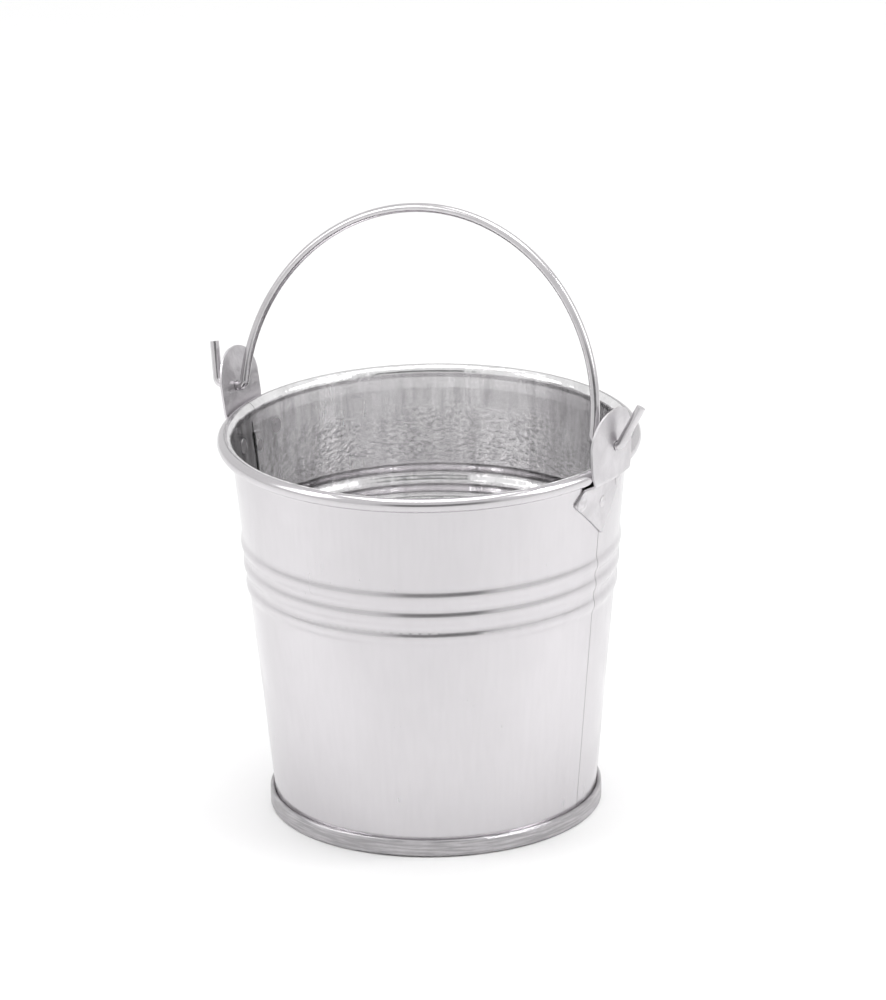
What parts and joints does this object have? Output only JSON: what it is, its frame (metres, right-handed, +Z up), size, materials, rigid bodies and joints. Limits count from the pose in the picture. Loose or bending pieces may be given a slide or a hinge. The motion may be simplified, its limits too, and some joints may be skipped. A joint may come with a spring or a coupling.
{
  "type": "florist bucket",
  "caption": "Small tapered tinplate pail with a curled rim, rolled ridges, a seamed foot, ears and a swinging wire bail.",
  "frame": {"origin": "centre of the foot, on the floor the pail stands on", "axes": "+Z up the pail's axis, +X from the centre to the right ear along the bail's hinge, +Y towards the back"},
  "size_m": [0.0951, 0.082, 0.1187],
  "materials": {
    "tinplate": "bright satin tinplate with fine streaks",
    "bottom_tinplate": "satin tinplate",
    "ear_steel": "light satin tinned steel",
    "weld_steel": "dull spot-weld marks",
    "wire": "bright drawn tinned wire"
  },
  "bodies": {
    "pail": {"wall_front_half": "tinplate", "wall_back_half": "tinplate", "bottom": "bottom_tinplate", "left_ear": "ear_steel", "right_ear": "ear_steel", "ear_welds": "weld_steel"},
    "bail": {"bail": "wire"}
  },
  "joints": [
    {"name": "bail_swing", "type": "hinge", "parent": "pail", "child": "bail", "pos_m": [0, -0.0017, 0.0795], "axis": [1, 0, 0], "range_deg": [-78.1, 109.2]}
  ]
}
